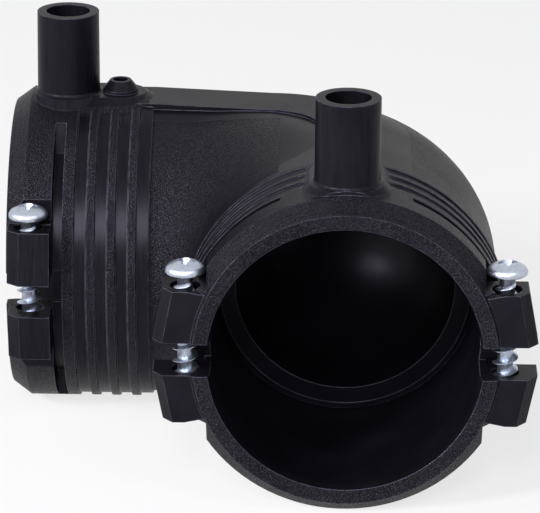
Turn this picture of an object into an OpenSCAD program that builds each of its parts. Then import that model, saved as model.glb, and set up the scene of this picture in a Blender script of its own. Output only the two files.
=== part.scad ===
// Electrofusion elbow for plastic pressure pipe, 90 degrees, with screw clamps at both mouths.
// One socket faces -Y and the other -X. The elbow is a mirror image of itself about the
// upright plane x = y. The origin is on the ground, under the middle of the whole outline.

/* [Pipe sockets] */
// Outside diameter of the pipe that the sockets take
pipe_d = 50; // [46:0.5:54]
// Radial play between the pipe and the socket wall
pipe_play = 0.2; // [0.1:0.05:0.4]
// Depth of each socket, from its mouth to the pipe stop
socket_depth = 41; // [38:0.5:44]
// Distance from the crossing of the two socket axes to each pipe stop
stop_reach = 24.5; // [23:0.5:30]
// How far the pipe stop stands in from the socket wall
stop_ledge = 4; // [3:0.1:5]
// Bevel in the corner between the socket wall and the pipe stop
stop_bevel = 0.8; // [0.4:0.1:1.5]
// Length of the lead-in cone inside each mouth
lead_in = 1.6; // [0.8:0.1:3]
// How far the lead-in cone opens the mouth on each side
lead_widen = 0.4; // [0.2:0.05:0.6]
// Wall of the socket, from its bore to the tops of the ribs
collar_wall = 5.6; // [5.2:0.1:7]

/* [Ribbed collar] */
// Number of ribs behind the clamp slot
rib_count = 4; // [2:1:4]
// Height of the ribs above the grooves
rib_h = 0.5; // [0.3:0.05:0.8]
// Width of a rib at its top
rib_w = 1.5; // [1:0.1:2]
// Width of a groove between two ribs
groove_w = 2.5; // [2:0.1:3]
// Slope of the rib flanks, measured along the axis
rib_flank = 0.15; // [0.05:0.05:0.3]
// Width of the rib beside the clamp slot
first_rib_w = 2.15; // [1.5:0.05:3]
// Plain band behind the last rib
collar_tail = 2.5; // [1.5:0.1:4]

/* [Elbow body] */
// Step from the plain band down to the body behind it
body_step = 0.5; // [0.3:0.05:0.8]
// How much the body narrows on its way to the bend, in radius
body_taper = 0.4; // [0.1:0.05:0.8]
// Radius of the centre line of the bend
bend_r = 14.8; // [12:0.2:17]
// How far the tube of the throat curve is thinner than the body, in radius
throat_thin = 0.6; // [0.5:0.05:1]
// How far the throat curve is set towards the inside of the bend
throat_shift = 0.5; // [0.35:0.05:0.6]

/* [Clamp ring] */
// Width of the clamp ring along the pipe
ring_w = 8.8; // [8:0.1:10]
// Width of the slot between the clamp ring and the collar
slot_w = 2.1; // [1.5:0.1:3]
// Bevel round the outside of the mouth, in radius
mouth_bevel = 2.5; // [1:0.1:3.2]
// Length of that bevel along the pipe
mouth_bevel_run = 3.4; // [1:0.1:5]
// Thickness of the web that the slot leaves over the socket wall
slot_web = 1.2; // [0.8:0.1:2]
// Angle of the bridge that joins each half ring to the collar
bridge_angle = 46; // [36:1:60]
// Angle over which each end of the slot runs out to the surface
slot_run_out = 8; // [4:1:14]
// Height of the split in the ring above the socket axis
split_above = 2.9; // [2:0.1:4]
// Depth of the split in the ring below the socket axis
split_below = 3.4; // [2:0.1:4]
// Distance from the socket wall out to the upright flats of the ring
flat_out = 0.4; // [0.1:0.05:1]

/* [Clamp lugs] */
// Reach of the lugs beyond the rib tops
lug_out = 4.8; // [3.8:0.1:6]
// Height of the upper lugs
upper_lug_h = 10.1; // [8:0.1:12]
// Height of the lower lugs
lower_lug_h = 9.3; // [8:0.1:11]
// How far the outer side of a lug leans inwards over its height
lug_lean = 1.9; // [0.5:0.1:2.4]
// How far the front of a lug lies behind the mouth
lug_inset = 0.6; // [0:0.1:1]
// Bevel on the front corner of a lug, across the lug
lug_corner = 1.8; // [0.5:0.1:2.2]
// Bevel on the front corner of a lug, along the pipe
lug_corner_run = 2.3; // [1:0.1:3]

/* [Clamp screws] */
// Distance from the mouth back to the screw axis
screw_inset = 4.6; // [4:0.1:5]
// Distance from the socket wall out to the screw axis
screw_out = 4.4; // [4.3:0.05:4.8]
// Clearance hole in the upper lugs
screw_hole_d = 5.7; // [5:0.1:6]
// Core diameter of the screw
screw_core_d = 2.9; // [2.5:0.1:3.2]
// Radial clearance of the screw core in the lower lugs
screw_core_play = 0.3; // [0.2:0.05:0.5]
// Lead-in at the top of the hole in the lower lugs
screw_lead_d = 5.2; // [4.6:0.1:5.6]
// Depth of that lead-in
screw_lead_h = 1.2; // [0.6:0.1:2]
// Length of the screw below its head
screw_len = 25; // [22:0.5:26]
// Length of the screw's point
screw_point_h = 3; // [2:0.1:4]
// Diameter of the screw head
screw_head_d = 7.5; // [7:0.1:8]
// Height of the rim of the screw head
screw_rim_h = 1; // [0.6:0.1:1.4]
// Height of the domed top of the screw head
screw_dome_h = 1.5; // [1:0.1:1.8]
// Gap left between the screw head and the upper lug
screw_lift = 2; // [1:0.1:3]
// How much further out the front right screw stands
front_right_back_off = 1; // [0:0.1:2]
// How much further out the front left screw stands
front_left_back_off = 0.5; // [0:0.1:2]
// Span of the cross recess
cross_span = 4.2; // [3.6:0.1:4.8]
// Width of an arm of the cross recess
cross_w = 0.9; // [0.7:0.05:1.1]
// Depth of the cross recess
cross_h = 1.5; // [1:0.1:2]

/* [Terminals] */
// Distance from the mouth back to the terminal axis
terminal_inset = 10.6; // [10:0.1:11.5]
// Height of the terminal shroud above the rib tops
shroud_h = 16.8; // [16:0.1:20]
// Outside diameter of the shroud at its rim
shroud_d = 12.1; // [11.8:0.1:12.6]
// How much wider the shroud is at its foot
shroud_draft = 0.2; // [0.1:0.05:0.6]
// Bore of the shroud
shroud_bore_d = 8.65; // [8.5:0.05:9.2]
// Depth of the well inside the shroud
well_h = 12.6; // [12:0.1:13.5]
// Width of the hollow curve where the shroud meets the pad
shroud_fillet = 0.8; // [0.5:0.1:1]
// Diameter of the contact pin
pin_d = 4; // [3.9:0.05:4.7]
// Depth of the pin's tip below the rim
pin_recess = 3.2; // [2.7:0.1:3.7]
// Bevel on the tip of the pin
pin_bevel = 0.4; // [0.2:0.1:0.8]
// Radial fit of the pin in the body
pin_fit = 0.05; // [0.02:0.01:0.1]

/* [Terminal pad] */
// Height of the pad above the rib tops
pad_rise = 0.6; // [0.4:0.1:1.2]
// Half the width of the pad's flat top
pad_top_r = 5; // [4.6:0.1:5.6]
// Depth over which the pad's sides spread
pad_depth = 3.1; // [2.8:0.1:3.4]
// How far the pad's sides spread over that depth
pad_spread = 5.2; // [4.6:0.1:5.6]
// Spread of the pad's skirt round the terminal, over the same depth
skirt_spread = 2.6; // [2:0.1:3]
// Distance from the terminal axis to the upright front of the skirt
skirt_front = 6.4; // [6.3:0.1:7]

/* [Fusion indicators] */
// Distance from the mouth back to the indicator
indicator_inset = 20.8; // [20:0.1:22]
// Diameter of the indicator at its foot
indicator_foot_d = 7; // [6.6:0.1:7.6]
// Height of the upright foot of the indicator
indicator_foot_h = 0.5; // [0.3:0.1:1]
// Diameter of the rim of the indicator
indicator_rim_d = 4.2; // [3.8:0.1:4.8]
// Height of the cone above its foot
indicator_cone_h = 1.8; // [1.4:0.1:3]
// Bore of the indicator
indicator_bore_d = 3; // [2.8:0.1:3.4]
// Depth of that bore
indicator_bore_h = 3; // [2:0.1:4]
// Diameter of the post in the bore
indicator_post_d = 1.7; // [1.4:0.1:2]
// Depth of the post's top below the rim
indicator_post_drop = 0.6; // [0.3:0.1:1.5]

/* [Raised strip] */
// Width of the raised strip that joins the two pads
strip_w = 11.2; // [9:0.1:12]
// Height of the strip above the body where it meets a pad
strip_rise_pad = 0.7; // [0.5:0.05:1]
// Height of the strip above the body round the bend
strip_rise_bend = 0.15; // [0.1:0.05:0.5]

/* [Heating coils] */
// Diameter of the resistance wire
wire_d = 0.8; // [0.6:0.05:0.9]
// Number of turns in each coil
coil_turns = 9; // [6:1:9]
// Spacing of the turns
coil_pitch = 2.2; // [1.8:0.1:2.4]
// Plastic left between the bore and the wire's seat
coil_skin = 0.7; // [0.5:0.05:0.9]
// Play of the wire in its seat
wire_play = 0.12; // [0.08:0.01:0.2]
// Distance from the pipe stop to the first turn
coil_from_stop = 5.5; // [4:0.1:6]
// Radius at which the wire turns into the coil
wire_bend_r = 1.5; // [1.2:0.1:2]

/* [Hidden] */
$fn = 96;

// Small amount by which a cut runs past a face
over = 0.5;
// Steps round one turn of a coil, and sides of the wire
coil_steps = 24;
wire_sides = 6;
bend_steps = 4;

// Radii of the socket, from the bore outwards
socket_r = pipe_d / 2 + pipe_play;
collar_r = socket_r + collar_wall;
groove_r = collar_r - rib_h;
body_r = groove_r - body_step;
bend_tube_r = body_r - body_taper;
waterway_r = socket_r - stop_ledge;
throat_tube_r = body_r - throat_thin;

// Stations along a socket, measured from the crossing of the axes
mouth_reach = stop_reach + socket_depth;
ring_back = mouth_reach - ring_w;
slot_back = ring_back - slot_w;
first_rib_back = slot_back - first_rib_w;
rib_pitch = rib_w + groove_w;
last_rib_back = first_rib_back - (rib_count - 1) * rib_pitch;
collar_back = last_rib_back - collar_tail;

// Clamp
flat_x = socket_r + flat_out;
web_r = socket_r + slot_web;
lug_x = collar_r + lug_out;
upper_lug_top = split_above + upper_lug_h;
lower_lug_foot = split_below + lower_lug_h;
screw_x = socket_r + screw_out;
screw_y = mouth_reach - screw_inset;
screw_pilot_r = screw_core_d / 2 + screw_core_play;
screw_seat_z = upper_lug_top + screw_lift;

// Terminal, pad and indicator
terminal_y = mouth_reach - terminal_inset;
indicator_y = mouth_reach - indicator_inset;
shroud_top = collar_r + shroud_h;
well_floor = shroud_top - well_h;
pin_top = shroud_top - pin_recess;
pad_top = collar_r + pad_rise;
pad_foot = pad_top - pad_depth;
pad_foot_r = pad_top_r + pad_spread;
indicator_top = pad_top + indicator_foot_h + indicator_cone_h;

// Raised strip
strip_pad_z = body_r + strip_rise_pad;
strip_bend_z = bend_tube_r + strip_rise_bend;
strip_root_z = socket_r + coil_skin;

// Wire
wire_r = wire_d / 2;
wire_line_r = socket_r + coil_skin + wire_play + wire_r;
seat_in_r = wire_line_r - wire_r - wire_play;
seat_out_r = wire_line_r + wire_r + wire_play;
coil_from = stop_reach + coil_from_stop;
coil_to = coil_from + coil_turns * coil_pitch;
coil_tail_in = coil_from - wire_bend_r;
coil_tail_out = terminal_y - pin_d / 2 - pin_fit;
pin_foot = wire_line_r - wire_r;

// Where the crossing of the socket axes lies above the origin
crossing_xy = (mouth_reach - lug_x) / 2;

module in_frame() {
    translate([crossing_xy, crossing_xy, collar_r])
        children();
}

// The second socket is the mirror image of the first
module other_socket() {
    mirror([1, -1, 0])
        children();
}

module both_sockets() {
    children();
    other_socket() children();
}

module both_sides() {
    children();
    mirror([1, 0, 0]) children();
}

// Turns a shape that stands along Z to lie along the front socket, pointing out of its mouth
module along_socket() {
    rotate([90, 0, 0])
        children();
}

// A quarter turn round the inner corner, from the front socket to the left one
module round_bend(centre) {
    translate([-centre, -centre, 0])
        rotate_extrude(angle = 90)
            children();
}

// Section of a tube that turns round an axis, kept on its own side of that axis
module bend_section(centre, tube_r) {
    intersection() {
        translate([centre, 0])
            circle(r = tube_r);
        translate([0, -tube_r - over])
            square([centre + tube_r + over, 2 * (tube_r + over)]);
    }
}

// Outline of one rib and the groove in front of it, from the mouth inwards
function rib_points(front) = [
    [collar_r, front],
    [groove_r, front - rib_flank],
    [groove_r, front - groove_w + rib_flank],
    [collar_r, front - groove_w]
];

module socket_outside() {
    ribs = [
        for (i = [0:rib_count - 2])
            each rib_points(first_rib_back - i * rib_pitch)
    ];
    outline = concat(
        [[0, mouth_reach], [collar_r - mouth_bevel, mouth_reach], [collar_r, mouth_reach - mouth_bevel_run]],
        ribs,
        [
            [collar_r, last_rib_back],
            [groove_r, last_rib_back - rib_flank],
            [groove_r, collar_back],
            [body_r, collar_back],
            [bend_tube_r, bend_r],
            [0, bend_r]
        ]
    );
    along_socket()
        rotate_extrude()
            polygon(outline);
}

module socket_inside() {
    along_socket()
        rotate_extrude()
            polygon([
                [0, bend_r],
                [waterway_r, bend_r],
                [waterway_r, stop_reach],
                [socket_r - stop_bevel, stop_reach],
                [socket_r, stop_reach + stop_bevel],
                [socket_r, mouth_reach - lead_in],
                [socket_r + lead_widen, mouth_reach],
                [socket_r + lead_widen, mouth_reach + over],
                [0, mouth_reach + over]
            ]);
}

// The ring is cut off upright above and below the lugs, to clear the screws
module ring_flats() {
    size = [collar_r, ring_w + over + slot_w / 4, collar_r];
    both_sides()
        translate([flat_x, -mouth_reach - over, 0]) {
            translate([0, 0, upper_lug_top])
                cube(size);
            translate([0, 0, -lower_lug_foot - collar_r])
                cube(size);
        }
}

// Bridge at the top of the slot, with sides that run out to the surface
module slot_bridge() {
    at_surface = bridge_angle / 2;
    at_web = at_surface + slot_run_out;
    side = [
        web_r * [sin(at_web), cos(at_web)],
        collar_r * [sin(at_surface), cos(at_surface)],
        [collar_r * sin(at_surface), lug_x + over]
    ];
    polygon(concat(
        [[0, 0]],
        side,
        [for (i = [len(side) - 1:-1:0]) [-side[i][0], side[i][1]]]
    ));
}

// Slot that frees the half rings, with a bridge left at the top and the bottom
module clamp_slot() {
    along_socket()
        translate([0, 0, slot_back])
            linear_extrude(height = slot_w)
                difference() {
                    circle(r = lug_x + over);
                    circle(r = web_r);
                    slot_bridge();
                    mirror([0, 1]) slot_bridge();
                }
}

// Split between the upper and the lower half ring, on through the web of the slot
module ring_split() {
    both_sides()
        translate([waterway_r - lug_out, -mouth_reach - over, -split_below])
            cube([lug_x, ring_w + over + slot_w, split_above + split_below]);
}

// Plan of a lug, seen from above, with its front outer corner bevelled
module lug_plan() {
    lug_front = mouth_reach - lug_inset;
    polygon([
        [waterway_r, -ring_back],
        [lug_x, -ring_back],
        [lug_x, lug_corner_run - lug_front],
        [lug_x - lug_corner, -lug_front],
        [waterway_r, -lug_front]
    ]);
}

// Upright prism of that plan, leaning inwards as it rises from the split
module leaning_lug(split, height) {
    intersection() {
        translate([lug_x, 0, split])
            rotate([0, -atan(lug_lean / height), 0])
                translate([-lug_x, 0, -split - over])
                    linear_extrude(height = split + height + 3 * over)
                        lug_plan();
        translate([0, -mouth_reach - over, 0])
            cube([lug_x + over, mouth_reach + over, split + height]);
    }
}

module upper_lug() {
    leaning_lug(split_above, upper_lug_h);
}

module lower_lug() {
    mirror([0, 0, 1])
        leaning_lug(split_below, lower_lug_h);
}

module screw_holes() {
    both_sides()
        translate([screw_x, -screw_y, 0]) {
            cylinder(d = screw_hole_d, h = upper_lug_top + over);
            translate([0, 0, -lower_lug_foot - over])
                cylinder(r = screw_pilot_r, h = lower_lug_foot + over);
            translate([0, 0, -split_below - screw_lead_h])
                cylinder(d = screw_lead_d, h = screw_lead_h + split_below);
        }
}

// Pad with sloping sides that carries the terminal and the indicator
module terminal_pad() {
    translate([0, -indicator_y, pad_foot])
        along_socket()
            linear_extrude(height = terminal_y - indicator_y)
                polygon([
                    [-pad_foot_r, 0], [pad_foot_r, 0],
                    [pad_top_r, pad_depth], [-pad_top_r, pad_depth]
                ]);
    translate([0, -indicator_y, pad_foot])
        rotate_extrude(angle = 180)
            polygon([[0, 0], [pad_foot_r, 0], [pad_top_r, pad_depth], [0, pad_depth]]);
}

// Skirt round the foot of the shroud, cut upright towards the mouth
module shroud_skirt() {
    foot_r = (shroud_d + shroud_draft) / 2;
    skirt_r = foot_r + shroud_fillet;
    intersection() {
        translate([0, -terminal_y, 0])
            rotate_extrude()
                polygon([
                    [0, pad_foot],
                    [skirt_r + skirt_spread, pad_foot],
                    [skirt_r, pad_top],
                    [foot_r + 0.45 * shroud_fillet, pad_top + 0.15 * shroud_fillet],
                    [foot_r + 0.15 * shroud_fillet, pad_top + 0.45 * shroud_fillet],
                    [shroud_d / 2, pad_top + shroud_fillet],
                    [0, pad_top + shroud_fillet]
                ]);
        translate([-collar_r, -terminal_y - skirt_front, 0])
            cube([2 * collar_r, 2 * collar_r, 2 * collar_r]);
    }
}

// Shroud with a slight draft
module shroud() {
    translate([0, -terminal_y, pad_foot])
        cylinder(
            d1 = shroud_d + shroud_draft,
            d2 = shroud_d,
            h = shroud_top - pad_foot
        );
}

// Well inside the shroud, and the seat that holds the foot of the pin
module shroud_well() {
    translate([0, -terminal_y, well_floor])
        cylinder(d = shroud_bore_d, h = well_h + over);
    translate([0, -terminal_y, pin_foot])
        cylinder(r = pin_d / 2 + pin_fit, h = well_floor - pin_foot + over);
}

module indicator() {
    translate([0, -indicator_y, 0])
        rotate_extrude()
            polygon([
                [0, pad_foot],
                [indicator_foot_d / 2, pad_foot],
                [indicator_foot_d / 2, pad_top + indicator_foot_h],
                [indicator_rim_d / 2, indicator_top],
                [0, indicator_top]
            ]);
}

// Bore of the indicator, with its post left standing
module indicator_well() {
    translate([0, -indicator_y, 0])
        rotate_extrude()
            polygon([
                [0, indicator_top - indicator_post_drop],
                [indicator_post_d / 2, indicator_top - indicator_post_drop],
                [indicator_post_d / 2, indicator_top - indicator_bore_h],
                [indicator_bore_d / 2, indicator_top - indicator_bore_h],
                [indicator_bore_d / 2, indicator_top + over],
                [0, indicator_top + over]
            ]);
}

// Straight run of the raised strip, falling with the taper of the body
module strip_run() {
    rotate([90, 0, 90])
        translate([0, 0, -strip_w / 2])
            linear_extrude(height = strip_w)
                polygon([
                    [-indicator_y, strip_root_z],
                    [-bend_r, strip_root_z],
                    [-bend_r, strip_bend_z],
                    [-collar_back, strip_pad_z],
                    [-indicator_y, strip_pad_z]
                ]);
}

module strip_bend() {
    round_bend(bend_r)
        translate([bend_r - strip_w / 2, strip_root_z])
            square([strip_w, strip_bend_z - strip_root_z]);
}

// Closed seat in the wall for a coil, with a channel to the pin and one to the bend
module coil_seat() {
    along_socket() {
        rotate_extrude()
            polygon([
                [seat_in_r, coil_from - wire_r - wire_play],
                [seat_out_r, coil_from - wire_r - wire_play],
                [seat_out_r, coil_to + wire_r + wire_play],
                [seat_in_r, coil_to + wire_r + wire_play]
            ]);
        translate([0, wire_line_r, bend_r])
            cylinder(r = wire_r + wire_play, h = terminal_y - bend_r);
    }
}

module link_channel() {
    round_bend(bend_r)
        translate([bend_r, wire_line_r])
            circle(r = wire_r + wire_play);
}

module solid_body() {
    both_sockets() {
        difference() {
            socket_outside();
            ring_flats();
        }
        upper_lug_pair();
        terminal_pad();
        shroud_skirt();
        shroud();
        indicator();
        strip_run();
    }
    round_bend(bend_r)
        bend_section(bend_r, bend_tube_r);
    round_bend(collar_back)
        bend_section(collar_back - throat_shift, throat_tube_r);
    strip_bend();
}

module upper_lug_pair() {
    both_sides() {
        upper_lug();
        lower_lug();
    }
}

module elbow_body() {
    color([0.13, 0.13, 0.15])
        in_frame()
            difference() {
                solid_body();
                both_sockets() {
                    socket_inside();
                    clamp_slot();
                    ring_split();
                    screw_holes();
                    shroud_well();
                    indicator_well();
                    coil_seat();
                }
                round_bend(bend_r)
                    bend_section(bend_r, waterway_r);
                link_channel();
            }
}

// Domed head, plain core and point; the origin is the middle of the head's underside
module clamp_screw() {
    head_r = screw_head_d / 2;
    core_r = screw_core_d / 2;
    dome_r = (head_r * head_r + screw_dome_h * screw_dome_h) / (2 * screw_dome_h);
    color([0.78, 0.8, 0.84])
        difference() {
            union() {
                cylinder(r = head_r, h = screw_rim_h);
                intersection() {
                    translate([0, 0, screw_rim_h + screw_dome_h - dome_r])
                        sphere(r = dome_r);
                    translate([0, 0, screw_rim_h / 2])
                        cylinder(r = head_r, h = screw_rim_h + screw_dome_h);
                }
                translate([0, 0, screw_point_h - screw_len])
                    cylinder(r = core_r, h = screw_len - screw_point_h + screw_rim_h / 2);
                translate([0, 0, -screw_len])
                    cylinder(r1 = core_r / 4, r2 = core_r, h = screw_point_h);
            }
            for (turn = [0, 90])
                rotate([0, 0, turn])
                    translate([-cross_span / 2, -cross_w / 2, screw_rim_h + screw_dome_h - cross_h])
                        cube([cross_span, cross_w, cross_h + over]);
        }
}

module screw_front_right() {
    in_frame()
        translate([screw_x, -screw_y, screw_seat_z + front_right_back_off])
            clamp_screw();
}

module screw_front_left() {
    in_frame()
        translate([-screw_x, -screw_y, screw_seat_z + front_left_back_off])
            clamp_screw();
}

module screw_left_near() {
    in_frame()
        translate([-screw_y, -screw_x, screw_seat_z])
            clamp_screw();
}

module screw_left_far() {
    in_frame()
        translate([-screw_y, screw_x, screw_seat_z])
            clamp_screw();
}

module terminal_pin() {
    color([0.78, 0.62, 0.3])
        translate([0, -terminal_y, 0])
            rotate_extrude()
                polygon([
                    [0, pin_foot],
                    [pin_d / 2, pin_foot],
                    [pin_d / 2, pin_top - pin_bevel],
                    [pin_d / 2 - pin_bevel, pin_top],
                    [0, pin_top]
                ]);
}

module terminal_pin_front() {
    in_frame() terminal_pin();
}

module terminal_pin_left() {
    in_frame() other_socket() terminal_pin();
}

// A point on the wall of the wire's seat: arc length round from the top, and station outwards
function on_wall(arc, station) =
    let (turn = arc / wire_line_r * 180 / PI)
    [wire_line_r * sin(turn), -station, wire_line_r * cos(turn)];

function away_from_axis(p) = [p[0], 0, p[2]] / norm([p[0], 0, p[2]]);

// Path of the wire: in along the wall, round the coil, and out to the pin
coil_length = coil_turns * 2 * PI * wire_line_r;
coil_rise = coil_to - coil_from;
coil_path = concat(
    [on_wall(0, coil_tail_in)],
    [
        for (i = [1:bend_steps - 1])
            let (a = 90 * i / bend_steps)
            on_wall(wire_bend_r * (1 - cos(a)), coil_from - wire_bend_r * (1 - sin(a)))
    ],
    [
        for (i = [0:coil_turns * coil_steps])
            let (part = i / (coil_turns * coil_steps))
            on_wall(
                wire_bend_r + part * (coil_length - 2 * wire_bend_r),
                coil_from + part * (coil_rise - wire_bend_r)
            )
    ],
    [
        for (i = [1:bend_steps - 1])
            let (a = 90 * i / bend_steps)
            on_wall(
                coil_length - wire_bend_r * (1 - sin(a)),
                coil_to - wire_bend_r + wire_bend_r * (1 - cos(a))
            )
    ],
    [on_wall(coil_length, coil_to), on_wall(coil_length, coil_tail_out)]
);

// Ring of the wire's section at one point of its path
function wire_ring(path, i) =
    let (
        last = len(path) - 1,
        ahead = path[min(i + 1, last)],
        behind = path[max(i - 1, 0)],
        run = i == 0 || i == last ? [0, -1, 0] : (ahead - behind) / norm(ahead - behind),
        up = away_from_axis(path[i]),
        side = cross(run, up) / norm(cross(run, up))
    )
    [
        for (k = [0:wire_sides - 1])
            let (a = 360 * k / wire_sides)
            path[i] + wire_r * (cos(a) * side + sin(a) * up)
    ];

module heating_coil() {
    last = len(coil_path) - 1;
    points = [for (i = [0:last]) each wire_ring(coil_path, i)];
    sides = [
        for (i = [0:last - 1], k = [0:wire_sides - 1])
            let (
                next = (k + 1) % wire_sides,
                here = i * wire_sides,
                there = (i + 1) * wire_sides
            )
            [here + k, there + k, there + next, here + next]
    ];
    first_cap = [for (k = [0:wire_sides - 1]) k];
    last_cap = [for (k = [wire_sides - 1:-1:0]) last * wire_sides + k];
    color([0.72, 0.45, 0.3])
        polyhedron(points = points, faces = concat(sides, [first_cap, last_cap]));
}

module heating_coil_front() {
    in_frame() heating_coil();
}

module heating_coil_left() {
    in_frame() other_socket() heating_coil();
}

module link_wire() {
    color([0.72, 0.45, 0.3])
        in_frame() {
            both_sockets()
                along_socket()
                    translate([0, wire_line_r, bend_r])
                        cylinder(r = wire_r, h = coil_tail_in - bend_r, $fn = 24);
            round_bend(bend_r)
                translate([bend_r, wire_line_r])
                    circle(r = wire_r, $fn = 24);
        }
}

elbow_body();
screw_front_right();
screw_front_left();
screw_left_near();
screw_left_far();
terminal_pin_front();
terminal_pin_left();
heating_coil_front();
heating_coil_left();
link_wire();
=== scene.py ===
"""Looks of the electrofusion elbow: moulded polyethylene, zinc screws, brass pins and wire."""

import math

import bmesh
import bpy
from mathutils import Matrix, Vector


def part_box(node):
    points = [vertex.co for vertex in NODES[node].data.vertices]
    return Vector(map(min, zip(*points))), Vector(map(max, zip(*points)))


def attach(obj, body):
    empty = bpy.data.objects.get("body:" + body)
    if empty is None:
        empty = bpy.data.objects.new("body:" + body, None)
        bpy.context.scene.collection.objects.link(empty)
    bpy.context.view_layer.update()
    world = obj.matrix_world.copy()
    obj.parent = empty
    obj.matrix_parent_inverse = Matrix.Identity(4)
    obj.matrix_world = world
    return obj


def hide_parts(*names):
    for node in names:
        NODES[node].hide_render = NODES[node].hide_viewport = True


bl_info = {
    "name": "Electrofusion Elbow",
    "version": (1, 0, 0),
    "blender": (4, 5, 0),
    "location": "View3D > Sidebar > Elbow",
    "description": "Finishes and studio for a 90 degree electrofusion elbow",
    "category": "Object",
}

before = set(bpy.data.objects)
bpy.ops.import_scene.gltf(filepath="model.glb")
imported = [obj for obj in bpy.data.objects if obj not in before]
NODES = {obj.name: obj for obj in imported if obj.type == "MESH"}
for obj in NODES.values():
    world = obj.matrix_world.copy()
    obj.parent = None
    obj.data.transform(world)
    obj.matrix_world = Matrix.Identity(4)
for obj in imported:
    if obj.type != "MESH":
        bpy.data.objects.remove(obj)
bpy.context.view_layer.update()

MM = 0.001
PER_MM = 1000.0

# The crossing of the two socket axes, in the frame of the part
PIN_LOW, PIN_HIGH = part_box("terminal_pin_front")
BODY_LOW, BODY_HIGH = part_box("elbow_body")
CROSSING_XY = (PIN_LOW.x + PIN_HIGH.x) / 2
SOCKET_CENTRE = Vector((CROSSING_XY, CROSSING_XY, 0.0308))

SCREW_NODES = (
    "screw_front_right",
    "screw_front_left",
    "screw_left_near",
    "screw_left_far",
)
PIN_NODES = ("terminal_pin_front", "terminal_pin_left")
WIRE_NODES = ("heating_coil_front", "heating_coil_left", "link_wire")

# Turn of each screw about its own axis, in degrees, as it was last left
SCREW_TURNS = {
    "screw_front_right": 8.0,
    "screw_front_left": -6.0,
    "screw_left_near": -4.0,
    "screw_left_far": 30.0,
}


def srgb(red, green, blue):
    """A display colour from 0 to 255 as the linear colour that the nodes take."""
    return tuple(
        c / 255 / 12.92 if c / 255 <= 0.04045 else ((c / 255 + 0.055) / 1.055) ** 2.4
        for c in (red, green, blue)
    ) + (1.0,)


# ---------------------------------------------------------------- settings


class ElbowBodySettings(bpy.types.PropertyGroup):
    """Sizes and colours of the moulded body's finish"""

    plastic_colour: bpy.props.FloatVectorProperty(
        name="Plastic colour",
        description="Colour of the black polyethylene",
        subtype="COLOR",
        size=4,
        min=0.0,
        max=1.0,
        default=(0.0042, 0.0041, 0.0058, 1.0),
    )
    smooth_roughness: bpy.props.FloatProperty(
        name="Smooth roughness",
        description="Roughness of the grooves, pads, terminals and lugs",
        default=0.29,
        min=0.0,
        max=1.0,
    )
    grain_roughness: bpy.props.FloatProperty(
        name="Grain roughness",
        description="Roughness of the grained faces",
        default=0.29,
        min=0.0,
        max=1.0,
    )
    grain_size: bpy.props.FloatProperty(
        name="Grain size",
        description="Width of one pip of the moulded grain, in millimetres",
        default=0.3,
        min=0.1,
        max=2.0,
    )
    grain_height: bpy.props.FloatProperty(
        name="Grain height",
        description="Height of the moulded grain",
        subtype="DISTANCE",
        default=0.00013,
        min=0.0,
        max=0.001,
    )
    edge_radius: bpy.props.FloatProperty(
        name="Edge radius",
        description="Rounding of the moulding's sharp edges",
        subtype="DISTANCE",
        default=0.0003,
        min=0.0,
        max=0.002,
    )


class ElbowMetalSettings(bpy.types.PropertyGroup):
    """Sizes and colours of the screws, the pins and the wire"""

    zinc_colour: bpy.props.FloatVectorProperty(
        name="Zinc colour",
        description="Colour of the plated screws",
        subtype="COLOR",
        size=4,
        min=0.0,
        max=1.0,
        default=(0.47, 0.51, 0.6, 1.0),
    )
    brass_colour: bpy.props.FloatVectorProperty(
        name="Brass colour",
        description="Colour of the contact pins",
        subtype="COLOR",
        size=4,
        min=0.0,
        max=1.0,
        default=(0.74, 0.55, 0.27, 1.0),
    )
    wire_colour: bpy.props.FloatVectorProperty(
        name="Wire colour",
        description="Colour of the resistance wire",
        subtype="COLOR",
        size=4,
        min=0.0,
        max=1.0,
        default=(0.72, 0.36, 0.2, 1.0),
    )
    thread_diameter: bpy.props.FloatProperty(
        name="Thread diameter",
        description="Diameter over the crests of the screw thread",
        subtype="DISTANCE",
        default=0.0048,
        min=0.003,
        max=0.006,
    )
    thread_pitch: bpy.props.FloatProperty(
        name="Thread pitch",
        description="Distance from one crest of the thread to the next",
        subtype="DISTANCE",
        default=0.0024,
        min=0.001,
        max=0.004,
    )
    recess_span: bpy.props.FloatProperty(
        name="Recess span",
        description="Width of the cross recess over its wings",
        subtype="DISTANCE",
        default=0.0042,
        min=0.002,
        max=0.006,
    )


class ElbowStageSettings(bpy.types.PropertyGroup):
    """The camera and the colours of the studio"""

    floor_colour: bpy.props.FloatVectorProperty(
        name="Floor colour",
        description="Colour of the floor and the backdrop",
        subtype="COLOR",
        size=4,
        min=0.0,
        max=1.0,
        default=(0.95, 0.95, 0.96, 1.0),
    )
    camera_place: bpy.props.FloatVectorProperty(
        name="Camera place",
        description="Where the camera stands",
        subtype="TRANSLATION",
        default=(0.01191562, -0.71628027, 0.28839049),
    )
    camera_azimuth: bpy.props.FloatProperty(
        name="Camera azimuth",
        description="Direction in which the camera looks, from +Y towards -X",
        subtype="ANGLE",
        default=math.radians(0.94),
    )
    camera_drop: bpy.props.FloatProperty(
        name="Camera drop",
        description="How far the camera looks down from the level",
        subtype="ANGLE",
        default=math.radians(19.61),
    )
    camera_roll: bpy.props.FloatProperty(
        name="Camera roll",
        description="Turn of the camera about its line of sight",
        subtype="ANGLE",
        default=math.radians(0.43),
    )
    camera_lens: bpy.props.FloatProperty(
        name="Camera lens",
        description="Focal length on a sensor 36 mm wide",
        subtype="DISTANCE_CAMERA",
        default=258.74,
    )


# ---------------------------------------------------------------- node helpers


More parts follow.
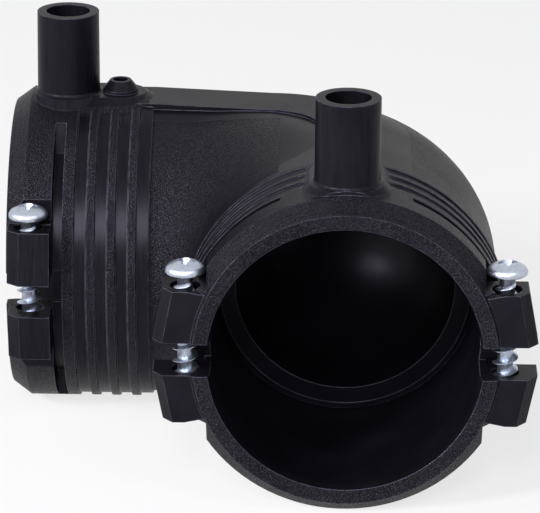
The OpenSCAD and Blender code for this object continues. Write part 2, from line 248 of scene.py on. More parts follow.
class NodeDesk:
    """Places nodes in one tree and wires them, with plain names for the usual sums."""

    def __init__(self, tree):
        self.tree = tree

    def node(self, kind, **settings):
        made = self.tree.nodes.new(kind)
        for name, value in settings.items():
            setattr(made, name, value)
        return made

    def wire(self, value, socket):
        if isinstance(value, bpy.types.NodeSocket):
            self.tree.links.new(value, socket)
        else:
            socket.default_value = value

    def sum(self, operation, *values, clamp=False):
        made = self.node("ShaderNodeMath", operation=operation, use_clamp=clamp)
        for value, socket in zip(values, made.inputs):
            self.wire(value, socket)
        return made.outputs[0]

    def add(self, a, b):
        return self.sum("ADD", a, b)

    def take(self, a, b):
        return self.sum("SUBTRACT", a, b)

    def times(self, a, b):
        return self.sum("MULTIPLY", a, b)

    def both(self, *masks):
        made = masks[0]
        for mask in masks[1:]:
            made = self.times(made, mask)
        return made

    def either(self, *masks):
        made = masks[0]
        for mask in masks[1:]:
            made = self.sum("MAXIMUM", made, mask)
        return made

    def inverse(self, mask):
        return self.take(1.0, mask)

    def length(self, a, b):
        squares = self.add(self.times(a, a), self.times(b, b))
        return self.sum("SQRT", squares)

    def above(self, value, edge, soft=0.12):
        """1 where value is over edge and 0 under it, with a soft step between."""
        made = self.node("ShaderNodeMapRange", interpolation_type="SMOOTHSTEP")
        self.wire(value, made.inputs["Value"])
        made.inputs["From Min"].default_value = edge - soft / 2
        made.inputs["From Max"].default_value = edge + soft / 2
        return made.outputs["Result"]

    def below(self, value, edge, soft=0.12):
        return self.inverse(self.above(value, edge, soft))

    def between(self, value, low, high, soft=0.12):
        return self.both(self.above(value, low, soft), self.below(value, high, soft))

    def line(self, value, place, width):
        """A soft ridge, 1 on the place and 0 beyond the width."""
        gap = self.sum("ABSOLUTE", self.take(value, place))
        return self.below(gap, width / 2, width)

    def scaled(self, value, low, high):
        """Takes 0 to 1 to the range from low to high."""
        return self.add(self.times(value, high - low), low)

    def mix(self, mask, low, high):
        """Blends two colours by a mask."""
        made = self.node("ShaderNodeMix", data_type="RGBA")
        self.wire(mask, made.inputs[0])
        self.wire(low, made.inputs[6])
        self.wire(high, made.inputs[7])
        return made.outputs[2]

    def noise(self, place, scale, detail=2.0, roughness=0.5):
        made = self.node("ShaderNodeTexNoise")
        self.wire(place, made.inputs["Vector"])
        self.wire(scale, made.inputs["Scale"])
        made.inputs["Detail"].default_value = detail
        made.inputs["Roughness"].default_value = roughness
        return made.outputs["Fac"]

    def cells(self, place, scale):
        made = self.node("ShaderNodeTexVoronoi", feature="F1")
        self.wire(place, made.inputs["Vector"])
        self.wire(scale, made.inputs["Scale"])
        return made.outputs["Distance"]

    def bump(self, height, distance, strength=1.0, normal=None):
        made = self.node("ShaderNodeBump")
        self.wire(height, made.inputs["Height"])
        made.inputs["Distance"].default_value = distance
        made.inputs["Strength"].default_value = strength
        if normal is not None:
            self.wire(normal, made.inputs["Normal"])
        return made.outputs["Normal"]

    def rounded_edge_mask(self, rounded, low, high):
        """1 where a rounded normal leaves the true one, as on the sharp edges."""
        true = self.node("ShaderNodeNewGeometry").outputs["Normal"]
        dot = self.node("ShaderNodeVectorMath", operation="DOT_PRODUCT")
        self.wire(rounded, dot.inputs[0])
        self.wire(true, dot.inputs[1])
        return self.above(self.inverse(dot.outputs["Value"]), (low + high) / 2, high - low)

    def group(self, tree, **values):
        made = self.node("ShaderNodeGroup", node_tree=tree)
        for name, value in values.items():
            self.wire(value, made.inputs[name.replace("_", " ").capitalize()])
        return made


def group_tree(name, inputs, outputs):
    """An empty shader node group with named sockets; returns its tree, input and output."""
    tree = bpy.data.node_groups.new(name, "ShaderNodeTree")
    for socket, kind, default in inputs:
        made = tree.interface.new_socket(socket, in_out="INPUT", socket_type=kind)
        if default is not None:
            made.default_value = default
    for socket, kind in outputs:
        tree.interface.new_socket(socket, in_out="OUTPUT", socket_type=kind)
    return tree, tree.nodes.new("NodeGroupInput"), tree.nodes.new("NodeGroupOutput")


FLOAT, VECTOR = "NodeSocketFloat", "NodeSocketVector"


def part_place_group():
    """Object coordinates as millimetres from the crossing of the socket axes."""
    tree, _, out = group_tree("Part place", [], [("Place", VECTOR)])
    desk = NodeDesk(tree)
    place = desk.node("ShaderNodeTexCoord").outputs["Object"]
    shifted = desk.node("ShaderNodeVectorMath", operation="SUBTRACT")
    desk.wire(place, shifted.inputs[0])
    shifted.inputs[1].default_value = SOCKET_CENTRE
    scaled = desk.node("ShaderNodeVectorMath", operation="SCALE")
    desk.wire(shifted.outputs[0], scaled.inputs[0])
    scaled.inputs["Scale"].default_value = PER_MM
    desk.wire(scaled.outputs[0], out.inputs["Place"])
    return tree


def moulded_grain_group():
    """Spark-eroded grain of a mould: round pips with fine noise between them."""
    tree, given, out = group_tree(
        "Moulded grain",
        [("Place", VECTOR, None), ("Size", FLOAT, 0.4), ("Mask", FLOAT, 1.0)],
        [("Height", FLOAT), ("Speckle", FLOAT)],
    )
    desk = NodeDesk(tree)
    place = given.outputs["Place"]
    per_size = desk.sum("DIVIDE", 1.0, given.outputs["Size"])
    coarse = desk.noise(place, per_size, detail=1.5, roughness=0.6)
    pips = desk.cells(place, desk.times(per_size, 1.25))
    height = desk.take(desk.times(coarse, 1.6), desk.times(pips, 0.8))
    desk.wire(desk.times(height, given.outputs["Mask"]), out.inputs["Height"])
    tips = desk.above(height, 0.42, 0.4)
    desk.wire(desk.times(tips, given.outputs["Mask"]), out.inputs["Speckle"])
    return tree


def handling_group():
    """Faint smears, dust and hairline scratches left by handling."""
    tree, given, out = group_tree(
        "Handling marks",
        [("Place", VECTOR, None), ("Size", FLOAT, 10.0), ("Amount", FLOAT, 1.0)],
        [("Smear", FLOAT), ("Scratch", FLOAT), ("Dust", FLOAT)],
    )
    desk = NodeDesk(tree)
    place, amount = given.outputs["Place"], given.outputs["Amount"]
    per_size = desk.sum("DIVIDE", 1.0, given.outputs["Size"])
    smear = desk.above(desk.noise(place, per_size, detail=3.0), 0.55, 0.4)
    desk.wire(desk.times(smear, amount), out.inputs["Smear"])
    stretched = desk.node("ShaderNodeMapping", vector_type="POINT")
    desk.wire(place, stretched.inputs["Vector"])
    stretched.inputs["Rotation"].default_value = (0.4, 0.7, 1.1)
    stretched.inputs["Scale"].default_value = (1.0, 0.06, 1.0)
    hairs = desk.noise(stretched.outputs[0], 5.0, detail=1.0)
    patches = desk.above(desk.noise(place, desk.times(per_size, 0.6)), 0.56, 0.1)
    scratch = desk.both(desk.line(hairs, 0.5, 0.012), patches)
    desk.wire(desk.times(scratch, amount), out.inputs["Scratch"])
    specks = desk.below(desk.cells(place, 0.32), 0.035, 0.02)
    some = desk.above(desk.noise(place, 0.13), 0.54, 0.06)
    desk.wire(desk.times(desk.both(specks, some), amount), out.inputs["Dust"])
    return tree


# ---------------------------------------------------------------- body zones

# Places on the moulding, in millimetres from the crossing of the socket axes
MOUTH_AT = 65.5
RING_FROM = 56.7
COLLAR_FROM = 37.85
RIB_TOP_R = 30.56
RIB_OVER_R = 31.0
MOUTH_BEVEL_RUN = 3.4
LUG_FROM = 25.45
LUG_TOP = 17.4
LUG_OVER_R = 28.75
BORE_SIDE_R = 25.7
OUTER_WALL_R = 27.5
BEND_R = 14.8
BAND_RIGHT = 12.7
BAND_LEFT = -13.0
BAND_NEAR = -9.6
BAND_FAR = 12.0
BAND_BEND_R = 27.2
SEAM_WIDTH = 0.35


def body_zones_group():
    """Masks over the moulding: grain, the smooth band's edge, mould seams and the collars."""
    tree, given, out = group_tree(
        "Body zones",
        [("Place", VECTOR, None)],
        [
            ("Grain", FLOAT),
            ("Band edge", FLOAT),
            ("Seam", FLOAT),
            ("Collar", FLOAT),
            ("Arm", VECTOR),
        ],
    )
    desk = NodeDesk(tree)
    axes = desk.node("ShaderNodeSeparateXYZ")
    desk.wire(given.outputs["Place"], axes.inputs[0])
    x, y, z = axes.outputs
    across = desk.sum("MAXIMUM", x, y)
    along = desk.times(desk.sum("MINIMUM", x, y), -1.0)
    radius = desk.length(across, z)

    # Distance out from the middle of the tube, round the bend too
    east = desk.sum("MAXIMUM", desk.add(x, BEND_R), 0.0)
    north = desk.sum("MAXIMUM", desk.add(y, BEND_R), 0.0)
    bend_out = desk.sum("ABSOLUTE", desk.take(desk.length(east, north), BEND_R))
    widest = desk.sum("MAXIMUM", bend_out, desk.sum("ABSOLUTE", across))
    outside = desk.above(desk.length(widest, z), OUTER_WALL_R, 0.4)

    # Smooth band along the top, with one sharp and one rounded corner
    inner = desk.sum("MAXIMUM", desk.take(x, BAND_LEFT), desk.take(y, BAND_NEAR))
    east = desk.sum("MAXIMUM", desk.add(x, BEND_R), 0.0)
    north = desk.sum("MAXIMUM", desk.add(y, BEND_R), 0.0)
    outer = desk.take(BAND_BEND_R, desk.length(east, north))
    band_depth = desk.sum("MINIMUM", inner, outer)
    upper = desk.above(z, 8.0, 1.0)
    band = desk.both(desk.above(band_depth, 0.0), upper)

    on_body = desk.both(desk.below(along, COLLAR_FROM), desk.inverse(band))
    rib_height = desk.between(radius, RIB_TOP_R, RIB_OVER_R)
    on_rib = desk.both(desk.above(along, COLLAR_FROM + 1.0), rib_height)
    sideways = desk.sum("ABSOLUTE", across)
    level = desk.below(desk.sum("ABSOLUTE", z), LUG_TOP)
    lug = desk.both(
        desk.above(sideways, LUG_FROM),
        level,
        desk.above(along, RING_FROM - 0.4),
        desk.above(radius, LUG_OVER_R),
    )
    front = desk.both(
        desk.above(along, MOUTH_AT - MOUTH_BEVEL_RUN - 0.1),
        desk.between(radius, BORE_SIDE_R, RIB_OVER_R),
    )
    grain = desk.either(desk.both(on_body, outside), on_rib, front)
    grain = desk.both(grain, desk.inverse(lug))
    desk.wire(grain, out.inputs["Grain"])

    edge = desk.both(desk.line(band_depth, 0.0, 0.3), upper, desk.below(along, COLLAR_FROM))
    desk.wire(edge, out.inputs["Band edge"])

    side_seam = desk.both(
        desk.line(z, 0.0, SEAM_WIDTH), outside, desk.below(along, RING_FROM - 2.0)
    )
    top_seam = desk.both(
        desk.line(across, 1.1, SEAM_WIDTH),
        desk.above(along, MOUTH_AT - MOUTH_BEVEL_RUN),
        desk.above(z, 0.0),
        desk.above(radius, BORE_SIDE_R),
    )
    desk.wire(desk.either(side_seam, top_seam), out.inputs["Seam"])

    desk.wire(desk.above(along, COLLAR_FROM, 2.0), out.inputs["Collar"])

    arm = desk.node("ShaderNodeCombineXYZ")
    desk.wire(across, arm.inputs[0])
    desk.wire(along, arm.inputs[1])
    desk.wire(z, arm.inputs[2])
    desk.wire(arm.outputs[0], out.inputs["Arm"])
    return tree


# ---------------------------------------------------------------- materials


def new_material(name):
    """A material with an empty tree, its desk and its Principled shader."""
    material = bpy.data.materials.new(name)
    material.use_nodes = True
    tree = material.node_tree
    tree.nodes.clear()
    desk = NodeDesk(tree)
    shader = desk.node("ShaderNodeBsdfPrincipled")
    output = desk.node("ShaderNodeOutputMaterial")
    tree.links.new(shader.outputs[0], output.inputs[0])
    return material, desk, shader


def part_place(desk):
    return desk.group(bpy.data.node_groups["Part place"]).outputs["Place"]


def moulded_plastic(settings):
    """Black polyethylene: grained faces with painted glints on the grain tips, smooth bands, flow
    marks, mould seams and painted highlights along the sharp edges.
    """
    material, desk, shader = new_material("Moulded polyethylene")
    place = part_place(desk)
    zones = desk.group(bpy.data.node_groups["Body zones"], place=place)
    grain = desk.group(
        bpy.data.node_groups["Moulded grain"],
        place=place,
        size=settings.grain_size,
        mask=zones.outputs["Grain"],
    )
    marks = desk.group(
        bpy.data.node_groups["Handling marks"], place=place, size=9.0, amount=1.0
    )

    # Flow marks drawn out round the socket on the smooth bands
    stretched = desk.node("ShaderNodeMapping", vector_type="POINT")
    desk.wire(zones.outputs["Arm"], stretched.inputs["Vector"])
    stretched.inputs["Scale"].default_value = (0.12, 2.4, 0.12)
    flow = desk.noise(stretched.outputs[0], 1.0, detail=3.0, roughness=0.6)
    drawn = desk.scaled(zones.outputs["Collar"], 0.2, 1.0)
    flow = desk.add(desk.times(desk.take(flow, 0.5), drawn), 0.5)

    dusty = tuple(c * 3.5 for c in settings.plastic_colour[:3]) + (1.0,)
    # Painted glint: the tips of the grain are painted lighter than the plastic, as sparkle
    grain_glint_colour = tuple(c * 1.5 for c in settings.plastic_colour[:3]) + (1.0,)
    tone = desk.mix(grain.outputs["Speckle"], tuple(settings.plastic_colour), grain_glint_colour)
    soil = desk.either(
        desk.times(marks.outputs["Dust"], 0.9), desk.times(marks.outputs["Smear"], 0.12)
    )
    # Painted highlight: the sharp edges are painted many times lighter than the plastic, in
    # patches along them, as a bright line of light, and are made a little smoother
    edge = desk.node("ShaderNodeBevel", samples=6)
    edge.inputs["Radius"].default_value = settings.edge_radius
    edge_highlight_patches = desk.above(desk.noise(place, 0.5, detail=3.0), 0.46, 0.25)
    painted_edge_highlight = desk.times(desk.rounded_edge_mask(edge.outputs[0], 0.02, 0.12), desk.scaled(edge_highlight_patches, 0.35, 1.0))
    edge_highlight_colour = tuple(c * 22.0 for c in settings.plastic_colour[:3]) + (1.0,)
    tone = desk.mix(soil, tone, dusty)
    desk.wire(desk.mix(painted_edge_highlight, tone, edge_highlight_colour), shader.inputs["Base Color"])

    smooth = desk.scaled(
        flow, settings.smooth_roughness - 0.12, settings.smooth_roughness + 0.12
    )
    rough = desk.add(
        smooth,
        desk.times(
            zones.outputs["Grain"], settings.grain_roughness - settings.smooth_roughness
        ),
    )
    rough = desk.add(rough, desk.times(marks.outputs["Smear"], 0.05))
    rough = desk.take(rough, desk.times(painted_edge_highlight, 0.12))
    desk.wire(rough, shader.inputs["Roughness"])

    flow_normal = desk.bump(flow, 0.00003, 0.6, edge.outputs[0])
    seams = desk.add(
        zones.outputs["Seam"],
        desk.take(
            desk.times(zones.outputs["Band edge"], 0.6),
            desk.times(marks.outputs["Scratch"], 0.25),
        ),
    )
    seam_normal = desk.bump(seams, 0.00006, 0.8, flow_normal)
    normal = desk.bump(
        grain.outputs["Height"], settings.grain_height, 1.0, seam_normal
    )
    desk.wire(normal, shader.inputs["Normal"])
    shader.inputs["IOR"].default_value = 1.5
    shader.inputs["Specular Tint"].default_value = (0.84, 0.82, 1.0, 1.0)

    # The tips of the grain and the streaks of the flow catch the light, and the dips lose it
    sheen = desk.add(
        desk.scaled(desk.above(flow, 0.5, 0.4), 0.09, 0.15),
        desk.times(zones.outputs["Grain"], -0.04),
    )
    sheen = desk.add(sheen, desk.times(grain.outputs["Speckle"], 0.14))
    glance = desk.node("ShaderNodeLayerWeight")
    glance.inputs["Blend"].default_value = 0.5
    sheen = desk.times(sheen, desk.scaled(glance.outputs["Facing"], 1.15, 0.1))
    desk.wire(sheen, shader.inputs["Specular IOR Level"])
    return material


def zinc_plate(settings):
    """Bright zinc on steel, with a fine satin and a few marks from the driver."""
    material, desk, shader = new_material("Zinc plate")
    place = part_place(desk)
    marks = desk.group(
        bpy.data.node_groups["Handling marks"], place=place, size=1.6, amount=1.0
    )
    mottle = desk.noise(place, 1.3, detail=3.0)
    dull = tuple(c * 0.86 for c in settings.zinc_colour[:3]) + (1.0,)
    tone = desk.mix(desk.above(mottle, 0.52, 0.3), tuple(settings.zinc_colour), dull)
    desk.wire(tone, shader.inputs["Base Color"])
    rough = desk.add(desk.scaled(mottle, 0.25, 0.35), desk.times(marks.outputs["Smear"], 0.1))
    desk.wire(rough, shader.inputs["Roughness"])
    grit = desk.noise(place, 9.0, detail=2.0)
    height = desk.take(grit, desk.times(marks.outputs["Scratch"], 0.8))
    desk.wire(desk.bump(height, 0.000012, 0.7), shader.inputs["Normal"])
    shader.inputs["Metallic"].default_value = 1.0
    return material


def turned_metal(name, colour, rough, ring_scale):
    """A turned or drawn metal: fine rings along its length and a slight tarnish."""
    material, desk, shader = new_material(name)
    place = part_place(desk)
    tarnish = desk.noise(place, 0.9, detail=4.0)
    dark = tuple(c * 0.55 for c in colour[:3]) + (1.0,)
    tone = desk.mix(desk.above(tarnish, 0.55, 0.35), tuple(colour), dark)
    desk.wire(tone, shader.inputs["Base Color"])
    desk.wire(desk.scaled(tarnish, rough - 0.07, rough + 0.12), shader.inputs["Roughness"])
    stretched = desk.node("ShaderNodeMapping", vector_type="POINT")
    desk.wire(place, stretched.inputs["Vector"])
    stretched.inputs["Scale"].default_value = (0.2, 0.2, ring_scale)
    rings = desk.noise(stretched.outputs[0], 1.0, detail=1.0)
    desk.wire(desk.bump(rings, 0.00001, 0.6), shader.inputs["Normal"])
    shader.inputs["Metallic"].default_value = 1.0
    return material


def dress(node, material):
    """Gives a CAD node its material, in place of the one it was packed with."""
    mesh = NODES[node].data
    mesh.materials.clear()
    mesh.materials.append(material)


# ---------------------------------------------------------------- pieces


def finished_piece(name, work, material, node):
    """Makes the bmesh an object at the origin that rides on the part for a CAD node."""
    mesh = bpy.data.meshes.new(name)
    work.to_mesh(mesh)
    work.free()
    piece = bpy.data.objects.new(name, mesh)
    bpy.context.scene.collection.objects.link(piece)
    mesh.materials.append(material)
    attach(piece, "root")
    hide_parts(node)
    return piece


def lathe(work, profile, steps):
    """Spins a profile of (radius, height) points round Z into a closed shape."""
    ring = [work.verts.new((r, 0.0, z)) for r, z in profile]
    edges = [work.edges.new(pair) for pair in zip(ring, ring[1:])]
    bmesh.ops.spin(
        work,
        geom=ring + edges,
        cent=(0, 0, 0),
        axis=(0, 0, 1),
        angle=math.tau,
        steps=steps,
        use_merge=True,
    )
    bmesh.ops.remove_doubles(work, verts=work.verts, dist=1e-7)
    bmesh.ops.recalc_face_normals(work, faces=work.faces)


def smooth_all(work):
    for face in work.faces:
        face.smooth = True


def head_profile(head_r, rim_h, dome_h, neck_r):
    """Section of a pan head: flat under-face, rounded rim and domed top."""
    dome_steps = 14
    dome_r = (head_r**2 + dome_h**2) / (2 * dome_h)
    dome_mid = rim_h + dome_h - dome_r
    reach = math.asin((head_r - 0.35 * MM) / dome_r)
    profile = [(0.0, -0.3 * MM), (neck_r, -0.3 * MM), (neck_r, 0.0)]
    profile += [(head_r - 0.35 * MM, 0.0)]
    for i in range(1, 6):
        turn = math.radians(-90 + i * 30)
        profile.append(
            (
                head_r - 0.35 * MM + 0.35 * MM * math.cos(turn),
                0.35 * MM + 0.35 * MM * math.sin(turn),
            )
        )
        if i == 3:
            profile.append((head_r, rim_h - 0.25 * MM))
            break
    for i in range(dome_steps + 1):
        turn = reach * (1 - i / dome_steps)
        profile.append((dome_r * math.sin(turn), dome_mid + dome_r * math.cos(turn)))
    return profile


def cross_cutter(span, top, depth):
    """Four tapered wings and a cone, the shape that a cross driver fills."""
    work = bmesh.new()
    for turn in (0, 90):
        made = bmesh.ops.create_cube(work, size=1.0)["verts"]
        for v in made:
            low = v.co.z < 0
            v.co.x *= span * (0.62 if low else 1.04)
            v.co.y *= 0.8 * MM if low else 1.15 * MM
            v.co.z = top - depth if low else top + 0.6 * MM
        bmesh.ops.rotate(
            work, verts=made, cent=(0, 0, 0), matrix=Matrix.Rotation(math.radians(turn), 3, "Z")
        )
    bmesh.ops.create_cone(
        work,
        cap_ends=True,
        segments=24,
        radius1=0.3 * MM,
        radius2=1.5 * MM,
        depth=depth + 0.9 * MM,
        matrix=Matrix.Translation((0, 0, top + 0.6 * MM - (depth + 0.9 * MM) / 2)),
    )
    bmesh.ops.recalc_face_normals(work, faces=work.faces)
    return work


SLIVER_WIDTH = 0.001 * MM


def cut_away(work, cutters):
    """Takes the cutters' bmeshes away from the work's, and returns the result."""
    target = bpy.data.objects.new("cut target", bpy.data.meshes.new("cut target"))
    work.to_mesh(target.data)
    work.free()
    bpy.context.scene.collection.objects.link(target)
    tools = []
    for cutter in cutters:
        tool = bpy.data.objects.new("cutter", bpy.data.meshes.new("cutter"))
        cutter.to_mesh(tool.data)
        cutter.free()
        bpy.context.scene.collection.objects.link(tool)
        tools.append(tool)
        cut = target.modifiers.new("cut", "BOOLEAN")
        cut.operation = "DIFFERENCE"
        cut.solver = "EXACT"
        cut.use_self = True
        cut.object = tool
    bpy.context.view_layer.update()
    shown = target.evaluated_get(bpy.context.evaluated_depsgraph_get())
    result = bmesh.new()
    result.from_mesh(shown.to_mesh())
    shown.to_mesh_clear()
    for gone in tools + [target]:
        mesh = gone.data
        bpy.data.objects.remove(gone)
        bpy.data.meshes.remove(mesh)
    # The cut leaves flat slivers along its corners
    bmesh.ops.remove_doubles(result, verts=result.verts, dist=SLIVER_WIDTH)
    bmesh.ops.dissolve_degenerate(result, edges=result.edges, dist=SLIVER_WIDTH)
    bmesh.ops.triangulate(result, faces=result.faces)
    bmesh.ops.dissolve_degenerate(result, edges=result.edges, dist=SLIVER_WIDTH)
    return result


def thread_ridge(core_r, crest_r, pitch, low, high, runout):
    """A helical ridge, spun from its section, that fades into the core at both ends."""
    turns = (high - low) / pitch
    steps_each = 40
    steps = int(turns * steps_each)
    work = bmesh.new()
    foot, crest = 0.42 * pitch, 0.05 * pitch
    sink = core_r - 0.15 * MM
    section = [
        (sink, -foot / 2),
        (core_r, -foot / 2),
        (crest_r, -crest / 2),
        (crest_r, crest / 2),
        (core_r, foot / 2),
        (sink, foot / 2),
    ]
    ring = [work.verts.new((r, 0.0, low + z)) for r, z in section]
    face = work.faces.new(ring)
    bmesh.ops.spin(
        work,
        geom=[face],
        cent=(0, 0, 0),
        axis=(0, 0, 1),
        dvec=(0, 0, (high - low) / steps),
        angle=math.tau * turns,
        steps=steps,
        use_duplicate=False,
    )
    for v in work.verts:
        flat = math.hypot(v.co.x, v.co.y)
        end = min(v.co.z - low, high - v.co.z) / runout
        if flat > core_r and end < 1.0:
            keep = core_r - 0.05 * MM + (flat - core_r + 0.05 * MM) * max(0.0, end)
            v.co.x *= keep / flat
            v.co.y *= keep / flat
    bmesh.ops.recalc_face_normals(work, faces=work.faces)
    return work


class OBJECT_OT_elbow_clamp_screws(bpy.types.Operator):
    """Models the four clamp screws with their threads and cross recesses"""

    bl_idname = "object.elbow_clamp_screws"
    bl_label = "Clamp Screws"

    def execute(self, context):
        settings = context.scene.elbow_metal
        material = zinc_plate(settings)
        for node in SCREW_NODES:
            low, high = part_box(node)
            head_r = (high.x - low.x) / 2
            head_h = 2.5 * MM
            seat = high.z - head_h
            core_r = 1.45 * MM
            length = seat - low.z
            top = head_h

            head = bmesh.new()
            lathe(head, head_profile(head_r, 1.0 * MM, 1.5 * MM, 1.9 * MM), 64)
            cutter = cross_cutter(settings.recess_span, top, 1.5 * MM)
            work = cut_away(head, [cutter])

            shank = bmesh.new()
            lathe(
                shank,
                [
                    (0.0, -0.1 * MM),
                    (1.75 * MM, -0.1 * MM),
                    (1.6 * MM, -0.9 * MM),
                    (core_r, -1.3 * MM),
                    (core_r, -length + 3.0 * MM),
                    (0.25 * MM, -length),
                    (0.0, -length),
                ],
                32,
            )
            ridge = thread_ridge(
                core_r,
                settings.thread_diameter / 2,
                settings.thread_pitch,
                -length + 1.6 * MM,
                -1.6 * MM,
                1.6 * MM,
            )
            for extra in (shank, ridge):
                mesh = bpy.data.meshes.new("screw part")
                extra.to_mesh(mesh)
                extra.free()
                work.from_mesh(mesh)
                bpy.data.meshes.remove(mesh)
            smooth_all(work)
            middle = Vector(((low.x + high.x) / 2, (low.y + high.y) / 2, seat))
            turn = Matrix.Rotation(math.radians(SCREW_TURNS[node]), 4, "Z")
            work.transform(Matrix.Translation(middle) @ turn)
            piece = finished_piece(node + "_threaded", work, material, node)
            piece.data.set_sharp_from_angle(angle=math.radians(38))
        return {"FINISHED"}


class OBJECT_OT_elbow_body(bpy.types.Operator):
    """Finishes the moulded body"""

    bl_idname = "object.elbow_body"
    bl_label = "Moulded Body"

    def execute(self, context):
        dress("elbow_body", moulded_plastic(context.scene.elbow_body))
        return {"FINISHED"}


class OBJECT_OT_elbow_contacts(bpy.types.Operator):
    """Finishes the contact pins and the resistance wire"""

    bl_idname = "object.elbow_contacts"
    bl_label = "Pins and Wire"

    def execute(self, context):
        settings = context.scene.elbow_metal
        brass = turned_metal("Turned brass", settings.brass_colour, 0.3, 6.0)
        wire = turned_metal("Resistance wire", settings.wire_colour, 0.34, 3.0)
        for node in PIN_NODES:
            dress(node, brass)
        for node in WIRE_NODES:
            dress(node, wire)
        return {"FINISHED"}


# ---------------------------------------------------------------- stage


# How much of the floor's look is plain white, and how strong the sky's light is
FLOOR_WHITE = 0.75
AMBIENT = 0.02

# Name, place, width, height, power in watts and colour of each lamp
LAMPS = (
    ("key", (-0.09, -1.1, 0.72), 0.22, 0.45, 8.0, (0.97, 0.96, 1.0)),
    ("front left", (-0.86, -0.775, 0.62), 0.26, 0.3, 15.0, (0.97, 0.96, 1.0)),
    ("left", (-1.15, -0.25, 0.5), 0.3, 0.35, 3.5, (0.97, 0.96, 1.0)),
    ("high right", (0.527, -0.753, 0.95), 0.4, 0.4, 3.0, (0.88, 0.9, 1.0)),
)


def floor_material(colour):
    """Pale floor that keeps the soft shadow and shows white to the camera beyond it."""
    material, desk, shader = new_material("Studio paper")
    place = desk.node("ShaderNodeTexCoord").outputs["Object"]
    tooth = desk.noise(place, 400.0, detail=2.0)
    pale = tuple(min(1.0, c * 1.03) for c in colour[:3]) + (1.0,)
    desk.wire(desk.mix(tooth, tuple(colour), pale), shader.inputs["Base Color"])
    shader.inputs["Roughness"].default_value = 0.9
    shader.inputs["Specular IOR Level"].default_value = 0.1
    white = desk.node("ShaderNodeEmission")
    white.inputs["Strength"].default_value = 1.0
    rays = desk.node("ShaderNodeLightPath")
    seen = desk.either(
        rays.outputs["Is Camera Ray"],
        rays.outputs["Is Glossy Ray"],
        rays.outputs["Is Transmission Ray"],
    )
    blend = desk.node("ShaderNodeMixShader")
    desk.wire(desk.times(seen, FLOOR_WHITE), blend.inputs[0])
    desk.wire(shader.outputs[0], blend.inputs[1])
    desk.wire(white.outputs[0], blend.inputs[2])
    output = next(n for n in desk.tree.nodes if n.bl_idname == "ShaderNodeOutputMaterial")
    desk.wire(blend.outputs[0], output.inputs[0])
    return material


def soft_box(name, place, aim, width, height, power, colour=(1.0, 1.0, 1.0)):
    """A rectangular studio lamp that faces its aim."""
    lamp = bpy.data.lights.new(name, "AREA")
    lamp.shape = "RECTANGLE"
    lamp.size, lamp.size_y = width, height
    lamp.energy = power
    lamp.color = colour
    holder = bpy.data.objects.new(name, lamp)
    bpy.context.scene.collection.objects.link(holder)
    holder.location = place
    holder.rotation_euler = (Vector(aim) - Vector(place)).to_track_quat("-Z", "Y").to_euler()
    return holder


def studio_world():
    """Plain soft light from all round, and white where the camera looks past the floor."""
    world = bpy.data.worlds.new("Studio")
    bpy.context.scene.world = world
    world.use_nodes = True
    desk = NodeDesk(world.node_tree)
    world.node_tree.nodes.clear()
    rays = desk.node("ShaderNodeLightPath")
    seen = desk.either(
        rays.outputs["Is Camera Ray"],
        rays.outputs["Is Glossy Ray"],
        rays.outputs["Is Transmission Ray"],
    )
    sky = desk.node("ShaderNodeBackground")
    sky.inputs["Color"].default_value = (1.0, 1.0, 1.0, 1.0)
    desk.wire(desk.scaled(seen, AMBIENT, 1.0), sky.inputs["Strength"])
    output = desk.node("ShaderNodeOutputWorld")
    desk.wire(sky.outputs[0], output.inputs[0])


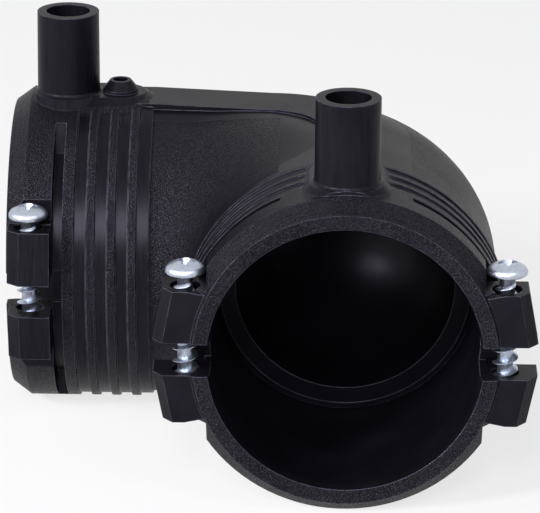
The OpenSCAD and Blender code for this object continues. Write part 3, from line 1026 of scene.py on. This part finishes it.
class OBJECT_OT_elbow_stage(bpy.types.Operator):
    """Sets the floor, the soft lamps and the camera"""

    bl_idname = "object.elbow_stage"
    bl_label = "Stage"

    def execute(self, context):
        settings = context.scene.elbow_stage
        scene = context.scene

        work = bmesh.new()
        bmesh.ops.create_grid(work, x_segments=2, y_segments=2, size=3.0)
        mesh = bpy.data.meshes.new("floor")
        work.to_mesh(mesh)
        work.free()
        floor = bpy.data.objects.new("floor", mesh)
        scene.collection.objects.link(floor)
        mesh.materials.append(floor_material(settings.floor_colour))

        middle = (0.0, 0.0, 0.035)
        for name, place, width, height, power, colour in LAMPS:
            soft_box(name, place, middle, width, height, power, colour)
        studio_world()

        camera = bpy.data.cameras.new("camera")
        camera.lens = settings.camera_lens
        camera.sensor_width = 36.0
        holder = bpy.data.objects.new("camera", camera)
        scene.collection.objects.link(holder)
        turn = (
            Matrix.Rotation(settings.camera_azimuth, 4, "Z")
            @ Matrix.Rotation(math.pi / 2 - settings.camera_drop, 4, "X")
            @ Matrix.Rotation(settings.camera_roll, 4, "Z")
        )
        holder.matrix_world = Matrix.Translation(settings.camera_place) @ turn
        camera.clip_start, camera.clip_end = 0.01, 20.0
        scene.camera = holder
        scene.view_settings.view_transform = "Standard"
        return {"FINISHED"}


class VIEW3D_PT_elbow(bpy.types.Panel):
    """Lists the steps that dress the elbow, and their settings"""

    bl_label = "Electrofusion Elbow"
    bl_space_type = "VIEW_3D"
    bl_region_type = "UI"
    bl_category = "Elbow"

    def draw(self, context):
        for step in STEPS:
            self.layout.operator(step.bl_idname)
        for group in ("elbow_body", "elbow_metal", "elbow_stage"):
            settings = getattr(context.scene, group)
            column = self.layout.column(align=True)
            for name in settings.__annotations__:
                column.prop(settings, name)


STEPS = (
    OBJECT_OT_elbow_body,
    OBJECT_OT_elbow_contacts,
    OBJECT_OT_elbow_clamp_screws,
    OBJECT_OT_elbow_stage,
)
GROUPS = {
    "elbow_body": ElbowBodySettings,
    "elbow_metal": ElbowMetalSettings,
    "elbow_stage": ElbowStageSettings,
}


def register():
    for group in GROUPS.values():
        bpy.utils.register_class(group)
    for name, group in GROUPS.items():
        setattr(bpy.types.Scene, name, bpy.props.PointerProperty(type=group))
    for step in STEPS + (VIEW3D_PT_elbow,):
        bpy.utils.register_class(step)


def unregister():
    for step in reversed(STEPS + (VIEW3D_PT_elbow,)):
        bpy.utils.unregister_class(step)
    for name in GROUPS:
        delattr(bpy.types.Scene, name)
    for group in reversed(GROUPS.values()):
        bpy.utils.unregister_class(group)


def main():
    register()
    part_place_group()
    moulded_grain_group()
    handling_group()
    body_zones_group()
    bpy.ops.object.elbow_body()
    bpy.ops.object.elbow_contacts()
    bpy.ops.object.elbow_clamp_screws()
    bpy.ops.object.elbow_stage()


if __name__ == "__main__":
    main()
